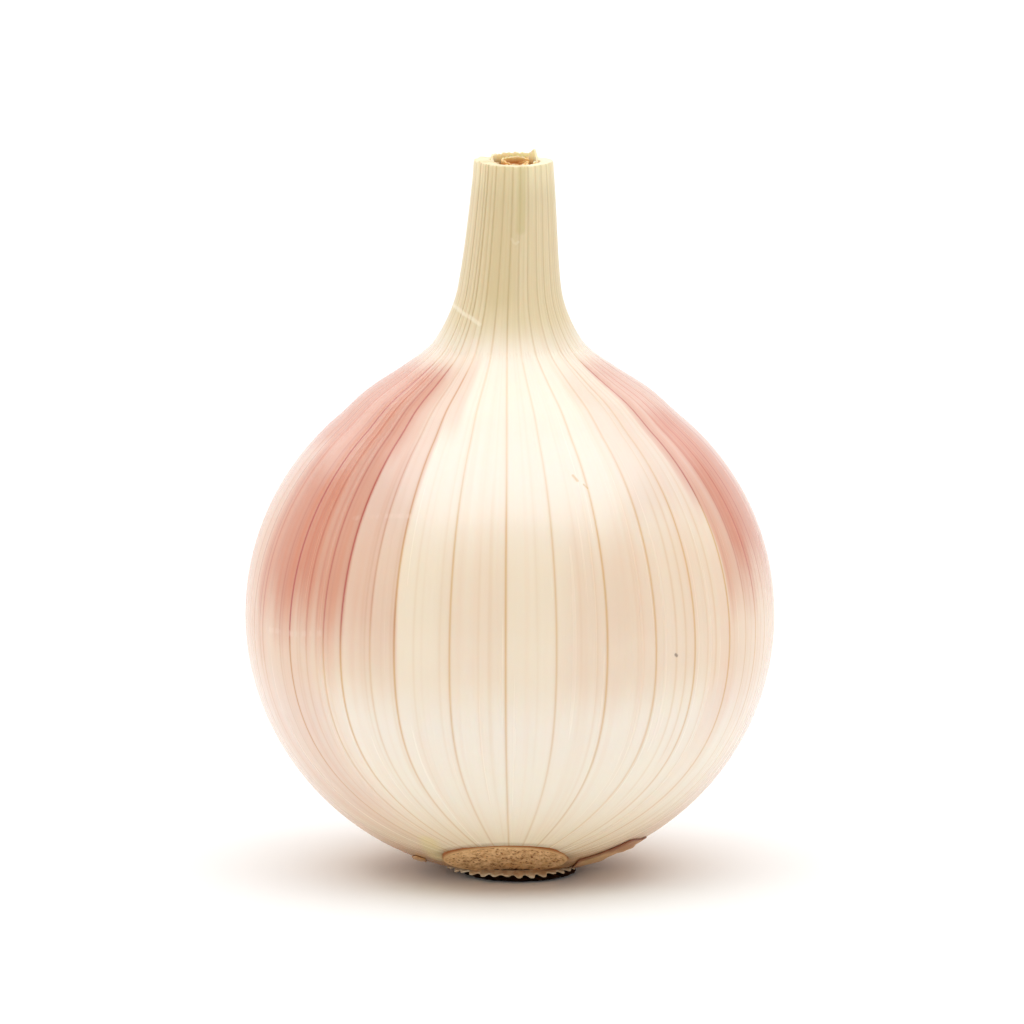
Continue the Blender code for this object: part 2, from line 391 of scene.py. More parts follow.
def veinPull(theta, radius, z):
    # strength of the main and the side vein lines at a place on the skin
    step = 2.0 * pi / bulb["columns"]
    width = max(bulb["veinWidth"] + bulb["veinSpread"] * radius, radius * step)
    main = side = 0.0
    k = bisect(mainAngles, theta)
    for j in (k - 1, k % len(mainVeins)):
        angle, strength = mainVeins[j]
        angle = round(angle / step) * step
        away = abs(turnBetween(theta, angle)) * radius / width
        main = max(main, strength * max(0.0, 1.0 - away))
    k = bisect(sideAngles, theta)
    for j in (k - 1, k % len(sideVeins)):
        angle, strength, low, high = sideVeins[j]
        angle = round(angle / step) * step
        away = abs(turnBetween(theta, angle)) * radius / width
        side = max(side, strength * max(0.0, 1.0 - away) * band(z, low, high, 4.0, 6.0))
    return main, side


def betweenVeins(theta):
    # 0 on a main vein, 1 half way to the next, and which gap it is
    k = bisect(mainAngles, theta)
    a = mainAngles[k - 1]
    b = mainAngles[k % len(mainAngles)]
    gap = (b - a) % (2.0 * pi)
    share = ((theta - a) % (2.0 * pi)) / gap
    return sin(pi * share) ** 2, k


def blushAt(theta, z):
    # the ends are ragged, streak by streak
    turn = degrees(theta) + 1.6 * wave(cos(theta) * 2.0, sin(theta) * 2.0, z * 0.12)
    streak = 2.0 * wave(cos(theta) * 9.0, sin(theta) * 9.0, 1.0) \
        + 1.3 * wave(cos(theta) * 26.0, sin(theta) * 26.0, 5.0)
    z += streak * ease((40.0 - z) / 8.0)
    total = 0.0
    for patch in blushPatches:
        low, high, softLow, softHigh = patch[:4]
        across = max(band(turn + shift, low, high, softLow, softHigh)
                     for shift in (0.0, 360.0, -360.0))
        total = max(total, across * band(z, *patch[4:8]) * patch[8])
    return total


def neckShift(z):
    low, high = bulb["neckBendZ"]
    back = bulb["neckBendBack"] * ease((z - low) / (high - low))
    over = bulb["neckSetsOver"] + bulb["neckBendBack"]
    return over * ease((z - high) / (bulb["neckTopZ"] - high)) - back


def leanPoint(p):
    arm = Vector((p.x, p.y, (p.z - bulb["ballCentreZ"]) / bulb["ballSquash"]))
    if arm.z >= 0.0:
        return p
    below = asin(min(1.0, -arm.z / bulb["ballRadius"])) / (pi / 2.0)
    arm = Matrix.Rotation(-bulb["rootLean"] * ease(below), 3, 'X') @ arm
    return Vector((arm.x, arm.y, bulb["ballCentreZ"] + arm.z * bulb["ballSquash"]))


def bulbProfile():
    # the floor of the neck's pocket, over the rim, down the neck and round the ball
    b = bulb
    top, bore, neck = b["neckTopZ"], b["neckRadius"] - b["neckWall"], b["neckRadius"]
    floor = top - b["pocketDepth"]
    points = [(0.0, floor), (bore * 0.6, floor), (bore, floor + 0.2)]
    points += [(bore, floor + (top - 0.15 - floor) * k / 5.0) for k in range(1, 6)]
    rimCurve = smoothPath(((bore, top - 0.15), (bore + 0.16, top), (neck - 0.14, top),
                           (neck, top - 0.18)), 3)
    points += [tuple(p) for p in rimCurve[1:]]
    ball = []
    for row in range(b["ballRows"] + 1):
        up = b["shoulderStart"] - (b["shoulderStart"] + pi / 2.0) * row / b["ballRows"]
        ball.append((b["ballRadius"] * cos(up),
                     b["ballCentreZ"] + b["ballRadius"] * b["ballSquash"] * sin(up)))
    shoulder = smoothPath(((neck, top - 0.18),) + b["shoulder"][::-1] + (ball[0],), 4)
    points += [tuple(p) for p in shoulder[1:]]
    return points + ball[1:]


def rimHeight(theta):
    # the cut is a little uneven, higher at the sides than front and back
    side = 0.13 * (0.5 - 0.5 * cos(2.0 * theta)) - 0.03 * sin(theta) + 0.05
    fray = max(0.0, wave(theta * 9.0, 3.0)) * band(degrees(theta), -130.0, -60.0, 15.0, 10.0)
    return side + 0.3 * fray + 0.05 * wave(cos(theta) * 5.0, sin(theta) * 5.0, 7.0)


def sinkUnderScar(p):
    # the skin stops at the root scar: it is pressed back behind the corky face
    turn = Matrix.Rotation(-scar["tilt"], 3, 'X')
    flat = turn.transposed() @ (p - Vector(scar["centre"]))
    share = hypot(flat.x / scar["width"], flat.y / scar["length"]) * 2.0
    if flat.z > 2.5 or share > 1.25:
        return p
    flat.z = max(flat.z, 0.75 * (1.0 - ease((share - 0.86) / 0.12)))
    return turn @ flat + Vector(scar["centre"])


def makeBulb(material):
    b = bulb
    names = ("vein", "sideVein", "blush", "inner")
    bm = spinProfile(bulbProfile(), b["columns"], names)
    around = bm.verts.layers.float_vector.new("around")
    layers = [bm.verts.layers.float[name] for name in names]
    top = b["neckTopZ"]
    neck = b["neckRadius"]
    blendLow, blendHigh = b["neckBlend"]
    for v in bm.verts:
        radius = hypot(v.co.x, v.co.y)
        theta = frontAngle(v.co.x, v.co.y)
        z = v.co.z
        inside = radius < neck - 0.05 and z > top - b["pocketDepth"] - 0.5
        main, side = (0.0, 0.0) if inside else veinPull(theta, radius, z)
        swell, gap = betweenVeins(theta)
        neckShare = ease((z - blendLow) / (blendHigh - blendLow))
        blush = 0.0 if inside else blushAt(theta, z)
        for layer, value in zip(layers, (main, side, blush, 1.0 if inside else 0.0)):
            v[layer] = value
        v[around] = Vector((sin(theta), cos(theta), z / top))
        if radius < 0.01:
            continue
        turn = b["wander"] * wave(cos(theta) * 3.0, sin(theta) * 3.0, z * 0.06)
        turn *= 1.0 - neckShare
        relief = 0.0
        if not inside:
            groove = (main + b["sideGroove"] * side) * b["grooveDepth"]
            relief -= groove * between(b["grooveShare"], neckShare)
            size = 0.6 + 0.8 * abs(wave(gap * 3.7, z * 0.03))
            relief += b["flute"] * size * (swell - 0.5) * between(b["fluteShare"], neckShare)
            relief += b["lump"] * wave(cos(theta) * 1.3, sin(theta) * 1.3, z * 0.05)
        if radius < neck - 0.5 and z > top - b["pocketDepth"] - 0.5:
            v.co.x += b["boreShift"][0]
            v.co.y += b["boreShift"][1]
            v.co.z += rimHeight(theta) * ease((z - top + 1.2) / 1.0)
            continue
        out = 1.0 + relief / max(radius, 1.0)
        v.co = Vector((out * radius * sin(theta + turn), -out * radius * cos(theta + turn), z))
        if z > top - 1.2:
            v.co.z += rimHeight(theta) * ease((z - top + 1.2) / 1.0)
    for v in bm.verts:
        v.co = leanPoint(v.co)
        if v.co.z < 6.0:
            v.co = sinkUnderScar(v.co)
        v.co.x += neckShift(v.co.z)
        v.co.z = max(v.co.z, b["undersideZ"])
    piece = finishPiece("bulbSkin", bm, material)
    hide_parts("bulb")
    return piece


def skinPoint(turn, z):
    # a place on the skin in metres, from its angle in degrees and its height in millimetres
    outer = bulbProfile()[::-1]
    for (low, lowZ), (high, highZ) in zip(outer, outer[1:]):
        if highZ > z:
            radius = low + (high - low) * (z - lowZ) / (highZ - lowZ)
            break
    theta = radians(turn)
    return Vector((radius * sin(theta) + neckShift(z), -radius * cos(theta), z)) * mm


def scarMarks(tree, place, marks):
    # the strongest of several marks, each a run of (angle, height) points and a half width
    total = None
    for run, width in marks:
        for start, end in zip(run, run[1:]):
            mark = useGroup(tree, scarGroup, Place=place, Start=skinPoint(*start),
                            End=skinPoint(*end), Width=width)
            total = mark if total is None else maths(tree, 'MAXIMUM', total, mark)
    return total


# cream of the skin from the base, 0, to the cut neck, 1: partly its own tone, partly painted
# light
# painted light: paler high up under the top highlight and low down where the floor throws light
# up, deeper in the band between
creamAndLightByHeight = ((0.03, tint(244, 222, 186)), (0.17, tint(243, 232, 214)),
                 (0.25, tint(241, 230, 216)), (0.34, tint(236, 219, 194)),
                 (0.47, tint(235, 217, 191)), (0.60, tint(238, 226, 211)),
                 (0.72, tint(238, 225, 206)))
ivoryAndLightByHeight = ((0.03, tint(247, 228, 192)), (0.17, tint(245, 236, 220)),
                 (0.34, tint(240, 226, 205)), (0.47, tint(240, 226, 202)),
                 (0.60, tint(242, 231, 216)), (0.72, tint(240, 229, 212)))


skinTints = {
    "warmCream": tint(236, 200, 168), "pink": (tint(194, 108, 73), tint(206, 123, 86)),
    "neck": (tint(218, 198, 154), tint(228, 211, 174)), "warmNeck": tint(218, 194, 150),
    "neckEdge": tint(242, 228, 186), "root": tint(194, 142, 88),
    "streak": (tint(196, 150, 116), tint(255, 248, 232)), "veinOnCream": tint(208, 160, 92),
    "veinOnPink": tint(164, 28, 8), "veinOnNeck": tint(172, 144, 90),
    # inside the cut neck: cream at the rim to orange-brown lower down, partly own colour,
    # partly painted shade
    "cut": (tint(251, 239, 206), tint(186, 116, 60)), "cutStreak": tint(238, 214, 166),
}

# small marks on the skin: runs of (angle, height) points with a half width in metres
skinMarks = {
    "scrape": {"tint": tint(244, 232, 206), "strength": 0.6, "runs": (
        (((-82.7, 48.4), (-62.0, 48.25), (-52.0, 48.0), (-40.0, 47.75), (-28.5, 47.3)),
         0.00026),)},
    "nick": {"tint": tint(244, 232, 206), "strength": 0.35, "runs": (
        (((0.0, 54.45), (2.5, 54.15), (5.5, 54.05), (8.5, 54.2)), 0.00016),)},
    "pale": {"tint": tint(240, 222, 164), "strength": 0.7, "runs": (
        (((-29.5, 4.4), (-32.0, 3.4), (-36.0, 2.3)), 0.0013),)},
    "scuffsAndGlint": {"tint": tint(246, 222, 206), "strength": 0.22, "runs": (
        # partly painted highlight: this first streak lies along the lower edge of the top
        # light's reflection; the other two are pale scuffs
        (((-41.0, 32.4), (-30.0, 32.9), (-20.0, 33.0)), 0.00032),
        (((-64.0, 22.1), (-54.0, 22.3), (-45.0, 22.8)), 0.00036),
        (((-21.5, 44.9), (-27.0, 45.3), (-31.0, 45.9)), 0.00055))},
    "speck": {"tint": tint(116, 96, 84), "strength": 0.75, "runs": (
        (((38.0, 21.3), (38.3, 21.2)), 0.00020),)},
    "shade": {"tint": tint(206, 184, 132), "strength": 0.42, "runs": (
        (((-16.0, 60.0), (-15.0, 55.0), (-14.0, 50.0)), 0.0024),)},
    "green": {"tint": tint(190, 176, 112), "strength": 0.38, "runs": (
        (((12.6, 60.4), (12.0, 57.5), (11.4, 55.2)), 0.00058),)},
    "stain": {"tint": tint(212, 176, 122), "strength": 0.6, "runs": (
        (((18.0, 36.2), (18.9, 35.8)), 0.00018), (((20.4, 35.5), (21.2, 35.2)), 0.00012))},
}


def bulbMaterial():
    mat, tree, shader = newMaterial("shallotSkin", 0.27, {
        "Specular IOR Level": 0.62,
        "Subsurface Weight": 0.22,
        "Subsurface Radius": (0.0032, 0.0014, 0.0008),
        "Subsurface Scale": 1.0,
        "Coat Weight": 0.20,
        "Coat Roughness": 0.14,
    })
    t = skinTints
    place = objectPlace(tree)
    around = readAttribute(tree, "around", "Vector")
    split = tree.nodes.new("ShaderNodeSeparateXYZ")
    tree.links.new(place, split.inputs[0])
    z = split.outputs["Z"]
    vein = readAttribute(tree, "vein")
    sideVein = readAttribute(tree, "sideVein")
    blush = readAttribute(tree, "blush")
    inner = readAttribute(tree, "inner")
    fine = useGroup(tree, fibreGroup, Place=around, Across=46.0, Along=1.6, Contrast=1.6)
    broad = useGroup(tree, fibreGroup, Place=around, Across=7.0, Along=1.2, Contrast=2.4)
    middle = useGroup(tree, fibreGroup, Place=around, Across=19.0, Along=1.4, Contrast=2.0)
    neck = mapRange(tree, z, 0.0440, 0.0482)
    root = mapRange(tree, z, 0.0040, 0.0013)

    rise = mapRange(tree, z, 0.0, bulb["neckTopZ"] * mm, smooth=False)
    cream = colourRamp(tree, rise, creamAndLightByHeight)
    cream = mixColour(tree, maths(tree, 'MULTIPLY', broad, 0.5), cream,
                      colourRamp(tree, rise, ivoryAndLightByHeight))
    warm = mapRange(tree, middle, 0.48, 0.85)
    cream = mixColour(tree, maths(tree, 'MULTIPLY', warm, 0.13), cream, t["warmCream"])
    pink = mixColour(tree, middle, *t["pink"])
    patchy = maths(tree, 'MULTIPLY', blush, mapRange(tree, middle, 0.25, 0.8, 0.92, 1.05))
    colour = mixColour(tree, patchy, cream, pink)
    tan = mixColour(tree, fine, *t["neck"])
    tan = mixColour(tree, maths(tree, 'MULTIPLY', warm, 0.3), tan, t["warmNeck"])
    tan = mixColour(tree, mapRange(tree, z, 0.0575, 0.0604, 0.0, 0.6), tan, t["neckEdge"])
    colour = mixColour(tree, neck, colour, tan)
    colour = mixColour(tree, root, colour, t["root"])
    streak = maths(tree, 'MULTIPLY', maths(tree, 'SUBTRACT', fine, 0.5), 0.12)
    colour = mixColour(tree, maths(tree, 'ABSOLUTE', streak), colour,
                       mixColour(tree, fine, *t["streak"]))
    # vein lines are tan on cream and red-brown on the blush
    lineTint = mixColour(tree, mapRange(tree, blush, 0.12, 0.6), t["veinOnCream"],
                         t["veinOnPink"])
    lineTint = mixColour(tree, neck, lineTint, t["veinOnNeck"])
    sharpVein = maths(tree, 'POWER', vein, 1.2)
    lines = maths(tree, 'ADD', sharpVein, sideVein, clamp=True)
    # they fade low on the ball and right of the neck; on the cream of the shoulder their fading
    # is painted highlight, the top light washing them out
    onNeck = mapRange(tree, split.outputs["X"], -0.0005, 0.0022, 0.80, 0.45)
    onBall = mapRange(tree, z, 0.031, 0.038, 1.0, 0.6)
    onBall = maths(tree, 'MAXIMUM', onBall, mapRange(tree, blush, 0.05, 0.35))
    onBall = maths(tree, 'MULTIPLY', onBall, mapRange(tree, z, 0.006, 0.022, 0.62, 1.0))
    lines = maths(tree, 'MULTIPLY', lines, mixColour(tree, neck, onBall, onNeck))
    colour = mixColour(tree, lines, colour, lineTint)
    # painted shade: the pocket darkens from cream at the rim to orange-brown lower down, partly
    # the leaves' own orange
    cut = mixColour(tree, mapRange(tree, z, 0.0605, 0.0598), *t["cut"])
    colour = mixColour(tree, inner, colour, mixColour(tree, fine, cut, t["cutStreak"]))
    for name, mark in skinMarks.items():
        strength = mark["strength"]
        if name == "scuffsAndGlint":
            strength = mapRange(tree, fine, 0.3, 0.7, 0.0, strength)
        seen = maths(tree, 'MULTIPLY', scarMarks(tree, place, mark["runs"]), strength)
        colour = mixColour(tree, seen, colour, mark["tint"])
    tree.links.new(colour, shader.inputs["Base Color"])

    rough = maths(tree, 'MULTIPLY_ADD', fine, 0.10, 0.20)
    rough = maths(tree, 'MULTIPLY_ADD', neck, 0.22, rough)
    tree.links.new(rough, shader.inputs["Roughness"])
    cells = noiseValue(tree, place, 900.0, 2.0)
    relief = maths(tree, 'MULTIPLY_ADD', cells, 0.25, fine)
    relief = maths(tree, 'MULTIPLY_ADD', sharpVein, -0.25, relief)
    tree.links.new(bump(tree, relief, 0.00003), shader.inputs["Normal"])
    return mat


# leaves rolled inside the cut neck: plan paths, and how far each point stands up
neckLeaves = {
    "neckSheath": {
        "replaces": "neck_inner_sheath",
        "path": ((-1.35, -0.9), (-1.85, -0.3), (-1.9, 0.5), (-1.5, 1.25), (-0.7, 1.6),
                 (0.3, 1.7), (1.2, 1.5), (1.85, 0.8), (2.1, -0.1), (1.75, -1.1), (0.9, -1.85),
                 (-0.1, -2.1), (-0.95, -1.75), (-1.3, -1.3)),
        "rise": (0.02, 0.10, 0.56, 0.52, 0.60, 0.60, 0.60, 0.45, 0.12, 0.0, -0.03, -0.02,
                 -0.05, -0.1),
        "wall": 0.20,
        "crumple": 0.22,
        "material": "leafCream",
        "stops": ((0.1, tint(120, 62, 26)), (0.36, tint(214, 134, 66)),
                  (0.54, tint(246, 204, 146)), (0.72, tint(252, 230, 186))),
    },
    "neckCurl": {
        "replaces": "neck_leaf_curl",
        "path": ((1.25, 0.15), (0.85, 0.55), (0.25, 0.68), (-0.4, 0.5), (-0.85, 0.0),
                 (-0.8, -0.7), (-0.35, -1.2), (0.25, -1.36), (0.85, -1.2), (1.15, -0.75),
                 (1.0, -0.3), (0.6, 0.0), (0.1, -0.02), (-0.3, -0.3)),
        "rise": (0.20, 0.30, 0.36, 0.34, 0.28, 0.22, 0.06, -0.06, 0.04, 0.18, 0.12, 0.0,
                 -0.2, -0.4),
        "wall": 0.17,
        "crumple": 0.16,
        "material": "leafAmber",
        "stops": ((0.25, tint(120, 62, 26)), (0.5, tint(208, 124, 60)),
                  (0.68, tint(244, 184, 118)), (0.85, tint(255, 228, 182))),
    },
}
leafTip = {"x": 1.8, "width": 0.42, "height": 0.5}        # a torn corner of the sheath
leafSheet = {"rows": 14, "perKnot": 8, "foot": 0.3, "pinch": 0.08, "edge": 0.07}
# partly the leaves' own orange-to-cream colour, partly painted shade darkening them down into
# the neck
leafShade = (0.0595, 0.0612)       # a leaf pales from the lower height to the upper
leafStreak = tint(220, 168, 104)


def makeNeckLeaf(name, leaf, material):
    # the plan path is drawn up out of the neck as a sheet, then given its thickness
    top, rows = bulb["neckTopZ"], leafSheet["rows"]
    base = top - bulb["pocketDepth"] + leafSheet["foot"]
    path = smoothPath([(x, y, h) for (x, y), h in zip(leaf["path"], leaf["rise"])],
                      leafSheet["perKnot"])
    bm = bmesh.new()
    height = bm.verts.layers.float.new("height")
    verts = [bm.verts.new((p.x, p.y, 0.0)) for p in path]
    edges = [bm.edges.new(pair) for pair in zip(verts, verts[1:])]
    for row in range(1, rows + 1):
        made = bmesh.ops.extrude_edge_only(bm, edges=edges)["geom"]
        edges = [e for e in made if isinstance(e, bmesh.types.BMEdge)]
        for v in made:
            if isinstance(v, bmesh.types.BMVert):
                v[height] = row / rows
    for v in bm.verts:
        near = min(path, key=lambda p: (p.x - v.co.x) ** 2 + (p.y - v.co.y) ** 2)
        rise = near.z + leaf["crumple"] * wave(near.x * 4.0, near.y * 4.0, 3.0)
        if leaf["replaces"] == "neck_inner_sheath" and near.y > 0.0:
            rise += leafTip["height"] * max(0.0, 1.0 - abs(near.x - leafTip["x"])
                                            / leafTip["width"])
        share = v[height] ** 0.6
        v.co.z = base + (top + rise - base) * share
        pinch = 1.0 - leafSheet["pinch"] * (1.0 - share)
        v.co.x = v.co.x * pinch + bulb["neckSetsOver"]
        v.co.y *= pinch
    bmesh.ops.recalc_face_normals(bm, faces=bm.faces)
    bmesh.ops.solidify(bm, geom=bm.faces[:] + bm.edges[:] + bm.verts[:],
                       thickness=leaf["wall"])
    piece = finishPiece(name, bm, material)
    bevel = piece.modifiers.new("softEdge", 'BEVEL')
    bevel.width = leafSheet["edge"] * mm
    bevel.segments = 2
    bevel.limit_method = 'ANGLE'
    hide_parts(leaf["replaces"])
    return piece


def leafMaterial(name, stops):
    mat, tree, shader = newMaterial(name, 0.5, {
        "Subsurface Weight": 0.45,
        "Subsurface Radius": (0.0018, 0.0009, 0.0004),
        "Subsurface Scale": 1.0,
    })
    place = objectPlace(tree)
    split = tree.nodes.new("ShaderNodeSeparateXYZ")
    tree.links.new(place, split.inputs[0])
    rise = mapRange(tree, split.outputs["Z"], *leafShade, smooth=False)
    streaks = useGroup(tree, fibreGroup, Place=place, Across=3200.0, Along=300.0,
                       Contrast=2.0)
    # painted shade: the ramp darkens each leaf to brown lower in the neck, partly the leaves'
    # own orange
    colour = colourRamp(tree, rise, stops)
    colour = mixColour(tree, maths(tree, 'MULTIPLY', streaks, 0.14), colour, leafStreak)
    tree.links.new(colour, shader.inputs["Base Color"])
    tree.links.new(bump(tree, streaks, 0.00005), shader.inputs["Normal"])
    return mat


# the corky root scar, tilted towards the front
scar = {
    "columns": 200,
    "rings": 64,
    "width": 10.6,
    "length": 8.5,
    "thickness": 1.3,
    "tilt": radians(25.2),
    "centre": (-0.4, -9.80, 2.42),
    "rimShare": 0.92,           # the smooth outer ring starts here
    "rimHeight": 0.07,
    "grain": 0.15,
    "ragged": 0.018,
    "lowest": 0.12,
    "crumbs": (tint(190, 138, 86), tint(246, 204, 150)),
    "patch": tint(236, 184, 124),
    "pore": tint(156, 98, 54),
    "rim": (tint(212, 162, 104), tint(240, 202, 150)),
    "outline": tint(160, 98, 52),
}


def corkRelief(x, y, share):
    # pits and crumbs in the middle, faint rings towards the rim
    middle = 1.0 - ease((share - scar["rimShare"] + 0.08) / 0.14)
    crumbs = wave(x * 2.3, y * 2.3, 1.0) + 0.6 * wave(x * 5.1, y * 5.1, 4.0)
    pits = max(0.0, wave(x * 3.4, y * 3.4, 9.0) - 0.28) * 2.4
    rings = 0.35 * sin(share * 34.0 + 1.5 * wave(x, y, 2.0))
    rim = ease((share - scar["rimShare"] + 0.05) / 0.09) * ease((1.0 - share) / 0.05)
    return (crumbs * middle - pits * middle + 0.4 * rings) * scar["grain"] \
        + rim * scar["rimHeight"]


def makeRootPlate(material):
    s = scar
    inner = s["thickness"]
    profile = [(0.0, inner), (0.94, inner), (1.0, inner - 0.3), (1.0, 0.08)]
    profile += [(1.0 - k / s["rings"], 0.0) for k in range(1, s["rings"] + 1)]
    bm = spinProfile(profile, s["columns"], ("cork", "outline"))
    cork = bm.verts.layers.float["cork"]
    outline = bm.verts.layers.float["outline"]
    for v in bm.verts:
        share = hypot(v.co.x, v.co.y)
        x, y = v.co.x * s["width"] / 2.0, v.co.y * s["length"] / 2.0
        ragged = 1.0 + s["ragged"] * wave(x * 0.9, y * 0.9, 5.0) * ease(share * 2.0 - 1.0)
        lift = 0.0
        if v.co.z < 0.05:
            lift = corkRelief(x, y, share)
            v[cork] = 1.0 - ease((share - s["rimShare"]) / 0.04)
        v[outline] = ease((share - 0.975) / 0.02)
        v.co = Vector((x * ragged, y * ragged, v.co.z - lift))
    turn = Matrix.Rotation(-s["tilt"], 4, 'X')
    bm.transform(Matrix.Translation(s["centre"]) @ turn)
    for v in bm.verts:
        v.co.z = max(v.co.z, s["lowest"])
    piece = finishPiece("rootScar", bm, material)
    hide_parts("root_plate")
    return piece


def corkMaterial():
    s = scar
    mat, tree, shader = newMaterial("rootCork", 0.85, {"Specular IOR Level": 0.3})
    place = objectPlace(tree)
    cork = readAttribute(tree, "cork")
    outline = readAttribute(tree, "outline")
    crumbs = noiseValue(tree, place, 1500.0, 4.0, 0.7)
    patches = noiseValue(tree, place, 420.0, 2.0)
    cells = tree.nodes.new("ShaderNodeTexVoronoi")
    feed(tree, cells.inputs["Vector"], place)
    cells.inputs["Scale"].default_value = 2600.0
    solid = mapRange(tree, cells.outputs["Distance"], 0.10, 0.42)
    colour = mixColour(tree, mapRange(tree, crumbs, 0.30, 0.62), *s["crumbs"])
    colour = mixColour(tree, mapRange(tree, patches, 0.5, 0.8), colour, s["patch"])
    colour = mixColour(tree, maths(tree, 'SUBTRACT', 1.0, solid), colour, s["pore"])
    colour = mixColour(tree, cork, mixColour(tree, crumbs, *s["rim"]), colour)
    colour = mixColour(tree, outline, colour, s["outline"])
    tree.links.new(colour, shader.inputs["Base Color"])
    rise = maths(tree, 'MULTIPLY_ADD', solid, 0.5, crumbs)
    tree.links.new(bump(tree, rise, 0.00012), shader.inputs["Normal"])
    return mat


# the ragged skirt of dry root stubs round the foot
fringe = {
    "seed": 23,
    "teeth": 32,
    "perTooth": 16,
    "rows": 14,
    "centre": (0.25, -2.7),
    "inner": 3.7,
    "outer": 5.2,
    "innerZ": 0.92,
    "outerZ": 0.66,
    "tooth": 0.36,
    "toothLengths": (0.7, 1.35),
    "lean": 0.09,
    "ridge": 0.09,
    "droop": 0.22,
    "ripple": 0.15,
    "uneven": 0.22,
    "lowest": 0.18,
    "wall": 0.14,
    "fibre": (tint(224, 192, 152), tint(252, 236, 204)),
    "patch": tint(222, 184, 138),
    # painted shade for the crease under the scar's edge
    "creaseShade": tint(58, 32, 16),
}

# the trimmed root mat that the bulb stands on, partly painted shadow: it is near-black to stand
# for the deep contact shadow under the fringe
foot = {
    "outline": ((0.0, 1.0), (3.1, 1.0), (4.0, 0.66), (4.7, 0.50), (4.95, 0.38), (4.85, 0.22),
                (4.55, 0.10), (4.2, 0.03)),
    "radius": 4.2,
    "rings": 30,
    "columns": 160,
    "pit": 0.2,
    "ragged": 0.04,
    "centre": (0.7, -2.9),
    # painted shadow: near-black browns, so that the pad reads as the contact shadow
    "fibre": (tint(24, 11, 4), tint(72, 42, 22)),
}


def makeFringe(material):
    # a thin skirt whose edge is drawn out into hooked root stubs
    f = fringe
    dice = random.Random(f["seed"])
    lengths = [f["tooth"] * dice.uniform(*f["toothLengths"]) for _ in range(f["teeth"])]
    leans = [dice.uniform(-0.6, 0.6) for _ in range(f["teeth"])]
    profile = [(f["inner"] + (f["outer"] - f["inner"]) * k / f["rows"],
                f["innerZ"] + (f["outerZ"] - f["innerZ"]) * (k / f["rows"]) ** 0.8)
               for k in range(f["rows"] + 1)]
    bm = spinProfile(profile, f["teeth"] * f["perTooth"], ("creaseShadeShare",))
    creaseShadeShare = bm.verts.layers.float["creaseShadeShare"]
    for v in bm.verts:
        radius = hypot(v.co.x, v.co.y)
        theta = frontAngle(v.co.x, v.co.y) % (2.0 * pi)
        place = theta / (2.0 * pi) * f["teeth"]
        tooth = int(place) % f["teeth"]
        point = 1.0 - abs((place - int(place)) * 2.0 - 1.0)
        share = (radius - f["inner"]) / (f["outer"] - f["inner"])
        v[creaseShadeShare] = share
        reach = lengths[tooth] * ease(point * 1.15) * share ** 3
        ripple = wave(cos(theta) * 6.0, sin(theta) * 6.0, 2.0)
        uneven = f["uneven"] * wave(cos(theta) * 1.5, sin(theta) * 1.5, 8.0)
        radius += reach + (uneven + f["ripple"] * ripple) * share
        theta += leans[tooth] * f["lean"] * reach
        ridge = f["ridge"] * sin(point * pi / 2.0) * share
        drop = f["droop"] * reach / f["tooth"]
        v.co = Vector((radius * sin(theta) + f["centre"][0],
                       -radius * cos(theta) + f["centre"][1],
                       max(v.co.z + ridge - drop + 0.08 * ripple * share, f["lowest"])))
    bmesh.ops.recalc_face_normals(bm, faces=bm.faces)
    if sum(face.normal.z for face in bm.faces) < 0.0:
        bmesh.ops.reverse_faces(bm, faces=bm.faces)
    bmesh.ops.solidify(bm, geom=bm.faces[:] + bm.edges[:] + bm.verts[:], thickness=-f["wall"])
    piece = finishPiece("rootFringe", bm, material)
    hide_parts("root_fringe")
    return piece


def makeRootMatAndShadow(material):
    # flat where it stands, pitted between the cut roots; its near-black colour is painted
    # contact shadow
    f = foot
    profile = list(f["outline"])
    profile += [(f["radius"] * (1.0 - k / f["rings"]), 0.0) for k in range(1, f["rings"] + 1)]
    bm = spinProfile(profile, f["columns"])
    for v in bm.verts:
        if v.co.z < 0.05:
            pit = wave(v.co.x * 1.9, v.co.y * 1.9, 6.0) + 0.5 * wave(v.co.x * 4.3, v.co.y * 4.3)
            v.co.z = f["pit"] * max(0.0, pit)
        theta = frontAngle(v.co.x, v.co.y)
        ragged = 1.0 + f["ragged"] * wave(cos(theta) * 9.0, sin(theta) * 9.0, v.co.z)
        v.co.x = v.co.x * ragged + f["centre"][0]
        v.co.y = v.co.y * ragged + f["centre"][1]
    piece = finishPiece("rootMatAndShadowPad", bm, material)
    return piece


def rootMaterial():
    mat, tree, shader = newMaterial("dryRoot", 0.8, {"Specular IOR Level": 0.3})
    place = objectPlace(tree)
    fibre = noiseValue(tree, place, 1900.0, 4.0, 0.65)
    patches = noiseValue(tree, place, 380.0, 2.0)
    colour = mixColour(tree, mapRange(tree, fibre, 0.3, 0.7), *fringe["fibre"])
    colour = mixColour(tree, mapRange(tree, patches, 0.5, 0.8), colour, fringe["patch"])
    # painted shade: dark brown where it comes out from under the scar, standing for the shadow
    # in the crease between scar and fringe
    creaseShadeShare = mapRange(tree, readAttribute(tree, "creaseShadeShare"), 0.34, 0.46)
    colour = mixColour(tree, creaseShadeShare, fringe["creaseShade"], colour)
    tree.links.new(colour, shader.inputs["Base Color"])
    tree.links.new(bump(tree, fibre, 0.00008), shader.inputs["Normal"])
    return mat


